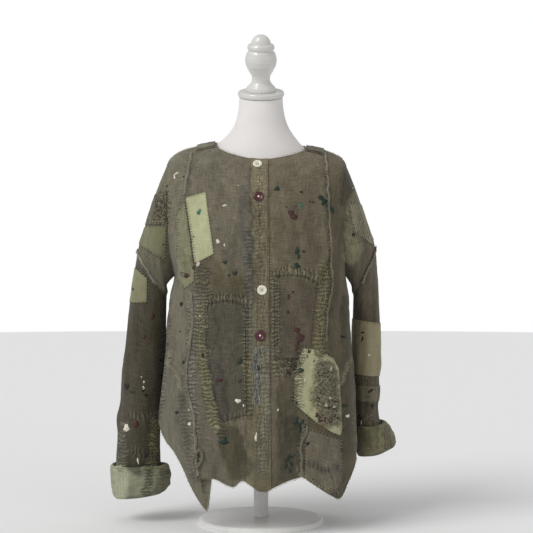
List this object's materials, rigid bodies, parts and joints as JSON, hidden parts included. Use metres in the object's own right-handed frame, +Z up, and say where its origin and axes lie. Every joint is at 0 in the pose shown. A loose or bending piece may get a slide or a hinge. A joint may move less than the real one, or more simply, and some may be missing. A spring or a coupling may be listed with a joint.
{
  "type": "patched boro jacket on a dress form",
  "caption": "Collarless patched linen jacket with turned-up cuffs and a pointed, uneven hem, standing on a white limbless dress form.",
  "frame": {"origin": "middle of the base plate's underside, on the surface the form stands on", "axes": "+Z up, +X towards the wearer's left, and the front faces -Y"},
  "size_m": [0.6415, 0.3311, 1.0686],
  "materials": {
    "faded_olive_linen": "matt, slubby, faded",
    "dark_olive_linen": "matt, darned",
    "light_green_linen": "matt",
    "raw_seam_cloth": "matt, frayed",
    "sage_cuff_cloth": "matt",
    "ivory_button": "polished",
    "dark_red_button": "polished",
    "form_cover_cloth": "matt jersey",
    "white_lacquered_wood": "white gloss lacquer",
    "white_enamelled_steel": "satin enamel"
  },
  "bodies": {
    "root": {"right_front": "faded_olive_linen", "left_front": "faded_olive_linen", "right_side_front": "faded_olive_linen", "left_side_front": "faded_olive_linen", "right_side_back": "faded_olive_linen", "left_side_back": "faded_olive_linen", "back": "faded_olive_linen", "right_upper_sleeve": "faded_olive_linen", "left_upper_sleeve": "faded_olive_linen", "right_lower_sleeve": "faded_olive_linen", "left_lower_sleeve": "faded_olive_linen", "button_band": "faded_olive_linen", "shoulder_tab_right": "faded_olive_linen", "shoulder_tab_left": "faded_olive_linen", "patch_grey_hem": "faded_olive_linen", "pocket_right": "dark_olive_linen", "pocket_left": "dark_olive_linen", "patch_chest_olive": "dark_olive_linen", "patch_sleeve_left_olive": "dark_olive_linen", "patch_sleeve_right_olive": "dark_olive_linen", "patch_sleeve_right_darned": "dark_olive_linen", "patch_sleeve_left_speckled": "dark_olive_linen", "patch_chest_light": "light_green_linen", "patch_light_front": "light_green_linen", "patch_sleeve_left_light": "light_green_linen", "patch_sleeve_right_light": "light_green_linen", "seam_right_upper": "raw_seam_cloth", "seam_right_lower": "raw_seam_cloth", "seam_left_upper": "raw_seam_cloth", "seam_left_lower": "raw_seam_cloth", "seam_right_back": "raw_seam_cloth", "seam_left_back": "raw_seam_cloth", "seam_right_arm": "raw_seam_cloth", "seam_left_arm": "raw_seam_cloth", "right_cuff": "sage_cuff_cloth", "left_cuff": "sage_cuff_cloth", "button_1_white": "ivory_button", "button_3_white": "ivory_button", "button_2_red": "dark_red_button", "button_4_red": "dark_red_button", "form_torso": "form_cover_cloth", "neck_cap": "white_lacquered_wood", "finial": "white_lacquered_wood", "post": "white_enamelled_steel", "base_plate": "white_enamelled_steel"}
  },
  "joints": []
}
